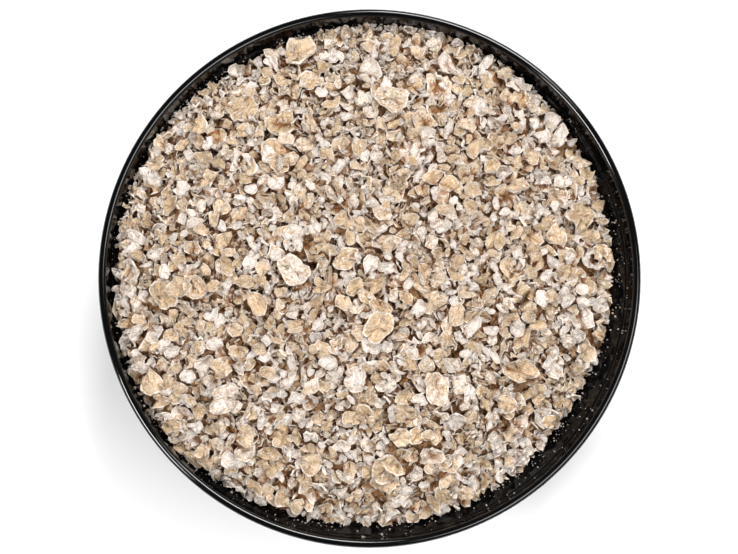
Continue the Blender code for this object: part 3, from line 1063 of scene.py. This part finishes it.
def keep_in_bowl(points, pile):
    """Presses the points that would lie in the bowl's wall flat against it."""
    away = np.hypot(points[:, 0], points[:, 1])
    wall = np.interp(points[:, 2], pile.wall_heights, pile.wall_radii)
    points[:, :2] *= np.minimum(wall / np.maximum(away, MM), 1.0)[:, None]
    points[:, 2] = np.minimum(points[:, 2], CAD_BOX[1].z - HEAD_ROOM)
    return points


def settle(mesh, pile, smooth):
    """Keeps a piece's points in the bowl, and stores how many millimetres each is under the local level,
    which the flake material paints as shade.
    """
    points = np.empty(3 * len(mesh.vertices), np.float32)
    mesh.vertices.foreach_get("co", points)
    points = keep_in_bowl(points.reshape(-1, 3), pile)
    mesh.vertices.foreach_set("co", points.ravel())
    mesh.update()
    depth = (smooth[pile.cells(points[:, 0], points[:, 1])] - points[:, 2]) / MM
    mesh.attributes.new("buried", "FLOAT", "POINT").data.foreach_set("value", depth.astype(np.float32))


def socket_key(tree, name):
    """The identifier that a modifier knows one of the tree's inputs by."""
    return next(item.identifier for item in tree.interface.items_tree if item.name == name)


def realised(name, points, shapes, material, wave_length, wave_height, seed):
    """Runs the flake tree on the points and returns the result as one plain mesh object."""
    carrier = new_piece(f"{name}_places", points)
    tree = laid_tree()
    laid = carrier.modifiers.new("laid", "NODES")
    laid.node_group = tree
    for key, value in (("Shapes", shapes), ("Wave Length", wave_length), ("Wave Height", wave_height),
                       ("Seed", seed), ("Finish", material)):
        laid[socket_key(tree, key)] = value
    graph = bpy.context.evaluated_depsgraph_get()
    mesh = bpy.data.meshes.new_from_object(carrier.evaluated_get(graph))
    mesh.name = name
    bpy.data.objects.remove(carrier, do_unlink=True)
    for shape in list(shapes.objects):
        bpy.data.objects.remove(shape, do_unlink=True)
    bpy.data.collections.remove(shapes)
    for spare in ("turn", "size", "shape"):
        if spare in mesh.attributes:
            mesh.attributes.remove(mesh.attributes[spare])
    return new_piece(name, mesh)


# Operators

class OATS_OT_turn_bowl(bpy.types.Operator):
    """Turn the glazed bowl in place of its plain solid"""
    bl_idname = "oats.turn_bowl"
    bl_label = "Turn Bowl"

    def execute(self, context):
        section = bowl_section(context.scene.oat_bowl)
        if abs(max(point[1] for point in section) - RIM.z) > 0.05 * MM:
            raise RuntimeError("the bowl's section doesn't reach the rim of its solid")
        bowl = new_piece("glazed_bowl", turned_mesh("glazed_bowl", section, BOWL_SEGMENTS))
        bowl.data.materials.append(glaze_material())
        ride(bowl, "black_glaze", "bowl")
        return {"FINISHED"}


CORE_SEED = 5
CORE_SEGMENTS = 120  # points round the core
CORE_RINGS = 44  # rings over its top, and down its side
CORE_SIDE_RINGS = 5
CORE_INSET = 0.4 * MM  # of the core's edge, inside the heap's
CORE_BUMPS = 0.45 * MM


class OATS_OT_pack_core(bpy.types.Operator):
    """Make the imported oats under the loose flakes"""
    bl_idname = "oats.pack_core"
    bl_label = "Pack Core"

    def execute(self, context):
        bowl, heap = context.scene.oat_bowl, context.scene.oat_heap
        core = new_piece("packed_oats", core_mesh(bowl, heap))
        if max(vertex.co.z for vertex in core.data.vertices) > CAD_BOX[1].z:
            raise RuntimeError("the packed oats rise above their solid")
        core.data.materials.append(deep_oats_material())
        ride(core, "oat_flakes", "oats")
        return {"FINISHED"}


def core_mesh(bowl, heap):
    """The core as one closed shape: a bumpy top, and a body that fills the bowl."""
    draw = np.random.default_rng(CORE_SEED)
    around = np.arange(CORE_SEGMENTS) * TAU / CORE_SEGMENTS
    top_radius = edge_radius(bowl, heap, around) - CORE_INSET
    rings = []
    for ring in range(1, CORE_RINGS + 1):
        share = ring / CORE_RINGS
        x, y = share * top_radius * np.cos(around), share * top_radius * np.sin(around)
        depth = heap.loose_depth * (1 - 0.35 * share**6)
        bumps = CORE_BUMPS * draw.uniform(-1, 1, CORE_SEGMENTS) * min(1.0, 3 * (1 - share))
        rings.append(np.stack([x, y, heap_height(bowl, heap, x, y) - depth + bumps], 1))
    edge_z = rings[-1][:, 2]
    edge_reach = np.minimum(inside_radius(bowl, edge_z) - heap.gap, top_radius)
    rings[-1][:, 0] = edge_reach * np.cos(around)
    rings[-1][:, 1] = edge_reach * np.sin(around)
    floor = bowl.floor_height + 3 * heap.gap
    for ring in range(1, CORE_SIDE_RINGS + 1):
        fall = (1 - ring / CORE_SIDE_RINGS) ** 2
        z = floor + (edge_z - floor) * fall
        radius = inside_radius(bowl, z - heap.gap) - heap.gap
        rings.append(np.stack([radius * np.cos(around), radius * np.sin(around), z], 1))
    peak = float(heap_height(bowl, heap, 0.0, 0.0)) - heap.loose_depth
    return ringed_mesh("packed_oats", (0.0, 0.0, peak), rings, (0.0, 0.0, floor))


WAVE_LENGTH = 3.2 * MM  # of the slow bends that run through the laid flakes
WAVE_HEIGHT = 0.55 * MM
WAVE_STEP = 3.0  # between the seeds of one kind's waves and the next one's


class OATS_OT_lay_flakes(bpy.types.Operator):
    """Lay the loose flakes of every kind on the core"""
    bl_idname = "oats.lay_flakes"
    bl_label = "Lay Flakes"

    def execute(self, context):
        scene = context.scene
        tint = scene.oat_colours
        looks = {
            "whole": oat_material("whole flake", tint.gold, tint.cream, 0.10, 0.2),
            "golden": oat_material("golden flake", tint.gold, tint.cream, 0.0),
            "creamy": oat_material("creamy flake", tint.gold, tint.cream, 0.20),
            "floury": oat_material("floury flake", tint.cream, tint.flour, 0.5),
            "chips": oat_material("chip", tint.gold, tint.cream, 0.25),
            "slivers": oat_material("sliver", tint.gold, tint.cream, 0.05),
        }
        laid, pile = lay_all(scene.oat_mix)
        smooth = pile.smooth_level()
        draw = np.random.default_rng(scene.oat_mix.seed + 1)
        for number, kind in enumerate(KINDS):
            if not laid[kind.name]:
                raise RuntimeError(f"the heap has no room for the {kind.name} flakes")
            points = places_mesh(f"{kind.name}_places", laid[kind.name])
            shapes = shape_collection(kind, draw)
            piece = realised(f"{kind.name}_flakes", points, shapes, looks[kind.name],
                             WAVE_LENGTH, WAVE_HEIGHT, WAVE_STEP * number)
            settle(piece.data, pile, smooth)
            ride(piece, "oat_flakes", "oats")
        return {"FINISHED"}


CRUMB = Kind("crumb", 0.42 * MM, 0.20 * MM, (0.5, 1.0), 0.30 * MM, 6, (1.0,), 12, (1, 2), 0.15)
DUSTY_SIDES = (  # where the crumbs gather: direction, strength and width, with angles in degrees
    (-40.0, 1.6, 25.0), (10.0, 0.9, 20.0), (90.0, 0.6, 35.0), (140.0, 0.8, 20.0), (255.0, 0.8, 25.0))
CRUMB_CLING = 0.12 * MM  # from the wall to a crumb's middle


def crumb_directions(draw, count):
    """Directions from the bowl's axis, most of them where the wall is dustiest."""
    angle = draw.uniform(-math.pi, math.pi, 8 * count)
    density = np.full(len(angle), 0.3)
    for middle, strength, width in DUSTY_SIDES:
        away = (angle - math.radians(middle) + math.pi) % TAU - math.pi
        density += strength * np.exp(-((away / math.radians(width)) ** 2))
    return angle[draw.uniform(0, 2.0, len(angle)) < density][:count]


def lay_crumbs(bowl, heap, count, seed):
    """Crumbs that cling to the wall above the heap, most of them low down."""
    draw = np.random.default_rng(seed)
    crumbs = []
    shoulder = RIM.z - bowl.collar_depth
    for angle in crumb_directions(draw, count):
        low = edge_height(heap, angle)
        height = low + (shoulder + 0.2 * MM - low) * min(draw.exponential(0.4), 1.0)
        step = 0.4 * MM
        slope = (inside_radius(bowl, height + step) - inside_radius(bowl, height - step)) / (2 * step)
        normal = Vector((-math.cos(angle), -math.sin(angle), slope)).normalized()
        radius = inside_radius(bowl, height) - CRUMB_CLING
        place = (radius * math.cos(angle), radius * math.sin(angle), height)
        half = 0.5 * max(CRUMB.length + CRUMB.spread * draw.normal(), 0.4 * CRUMB.length)
        turn = turned_to(np.array([tuple(normal)]), draw.uniform(0, TAU))[0]
        size = (half, half * draw.uniform(*CRUMB.aspect), half)
        shape = int(draw.integers(CRUMB.variants))
        crumbs.append((place, Matrix(turn).to_quaternion(), size, shape, draw.uniform(0, 1, 3)))
    return crumbs


class OATS_OT_scatter_crumbs(bpy.types.Operator):
    """Scatter crumbs on the bowl's inner wall"""
    bl_idname = "oats.scatter_crumbs"
    bl_label = "Scatter Crumbs"

    def execute(self, context):
        scene = context.scene
        crumbs = lay_crumbs(scene.oat_bowl, scene.oat_heap, scene.oat_glaze.crumbs, scene.oat_mix.seed)
        if not crumbs:
            raise RuntimeError("no crumb found a place on the wall")
        shapes = shape_collection(CRUMB, np.random.default_rng(scene.oat_mix.seed + 2))
        tint = scene.oat_colours
        look = oat_material("crumb", tint.cream, tint.flour, 0.3)
        points = places_mesh("crumb_places", crumbs)
        piece = realised("wall_crumbs", points, shapes, look, 1.0 * MM, 0.0, 0.0)
        ride(piece, "oat_flakes")
        return {"FINISHED"}


FLOOR_REACH = 3.0  # from the middle to each side
LIGHT_DISTANCE = 0.80
LIGHTS = (  # name, width and height in metres, azimuth from +X towards +Y and elevation in degrees
    ("key", (0.25, 0.25), 207.0, 48.0),
    ("fill", (0.66, 0.40), -30.0, 58.0),
    ("back", (0.36, 0.36), 72.0, 48.0),
)
AIM = Vector((-0.15, -0.9, 0.0)) * MM  # from the middle of the rim to where the camera aims
FRAME_WIDTH = 203.6 * MM  # the picture's width at the rim's height


class OATS_OT_set_stage(bpy.types.Operator):
    """Set the floor, the lights and the camera"""
    bl_idname = "oats.set_stage"
    bl_label = "Set Stage"

    def execute(self, context):
        look = context.scene.oat_stage
        floor = new_piece("floor", bpy.data.meshes.new("floor"))
        corners = [(x * FLOOR_REACH, y * FLOOR_REACH, 0) for x, y in ((-1, -1), (1, -1), (1, 1), (-1, 1))]
        floor.data.from_pydata(corners, [], [(0, 1, 2, 3)])
        floor.data.materials.append(floor_material())
        set_sky(look.sky)
        middle = Vector((0.0, 0.0, RIM.z))
        for name, size, azimuth, elevation in LIGHTS:
            towards = direction(math.radians(azimuth), math.radians(elevation))
            add_light(name, getattr(look, name), size, towards, middle)
        set_camera(context.scene, look, middle + AIM)
        context.scene.view_settings.view_transform = "Standard"
        return {"FINISHED"}


def set_sky(brightness):
    """White surroundings all round."""
    world = bpy.data.worlds.new("studio")
    world.use_nodes = True
    sky = world.node_tree.nodes["Background"]
    sky.inputs["Color"].default_value = (1.0, 1.0, 1.0, 1.0)
    sky.inputs["Strength"].default_value = brightness
    bpy.context.scene.world = world


def direction(azimuth, elevation):
    """A step of length 1 towards the given side of the sky."""
    flat = math.cos(elevation)
    return Vector((flat * math.cos(azimuth), flat * math.sin(azimuth), math.sin(elevation)))


def add_light(name, power, size, towards, target):
    """An area light that stands towards one side of the target and faces it."""
    data = bpy.data.lights.new(name, "AREA")
    data.energy = power
    data.shape = "RECTANGLE"
    data.size, data.size_y = size
    light = bpy.data.objects.new(name, data)
    bpy.context.scene.collection.objects.link(light)
    light.location = target + LIGHT_DISTANCE * towards
    light.rotation_euler = towards.to_track_quat("Z", "Y").to_euler()


def set_camera(scene, look, target):
    """The camera at the photograph's angle, so far off that the bowl fills the frame as it does there."""
    data = bpy.data.cameras.new("camera")
    data.lens = look.lens
    data.sensor_width = 36.0
    data.sensor_fit = "HORIZONTAL"
    camera = bpy.data.objects.new("camera", data)
    scene.collection.objects.link(camera)
    towards = direction(math.radians(-90.0), look.elevation)
    camera.location = target + towards * FRAME_WIDTH * look.lens / data.sensor_width
    camera.rotation_euler = towards.to_track_quat("Z", "Y").to_euler()
    scene.camera = camera


class OATS_PT_panel(bpy.types.Panel):
    """Lists the pieces of the bowl of oats"""
    bl_idname = "OATS_PT_panel"
    bl_label = "Bowl of Oats"
    bl_space_type = "VIEW_3D"
    bl_region_type = "UI"
    bl_category = "Oats"

    def draw(self, context):
        for operator in OPERATORS:
            self.layout.operator(operator.bl_idname)


OPERATORS = (OATS_OT_turn_bowl, OATS_OT_pack_core, OATS_OT_lay_flakes, OATS_OT_scatter_crumbs,
             OATS_OT_set_stage)
GROUPS = {"oat_bowl": BowlSize, "oat_heap": HeapSize, "oat_mix": FlakeMix, "oat_colours": OatColours,
          "oat_glaze": GlazeLook, "oat_stage": StageLook}


def register():
    for cls in (*GROUPS.values(), *OPERATORS, OATS_PT_panel):
        bpy.utils.register_class(cls)
    for name, group in GROUPS.items():
        setattr(bpy.types.Scene, name, PointerProperty(type=group))


def unregister():
    for name in GROUPS:
        delattr(bpy.types.Scene, name)
    for cls in reversed((*GROUPS.values(), *OPERATORS, OATS_PT_panel)):
        bpy.utils.unregister_class(cls)


def write_sizes():
    """Brings the view layer up to date."""
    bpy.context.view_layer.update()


def main():
    register()
    bpy.ops.oats.turn_bowl()
    bpy.ops.oats.pack_core()
    bpy.ops.oats.lay_flakes()
    bpy.ops.oats.scatter_crumbs()
    bpy.ops.oats.set_stage()
    write_sizes()


if __name__ == "__main__":
    main()
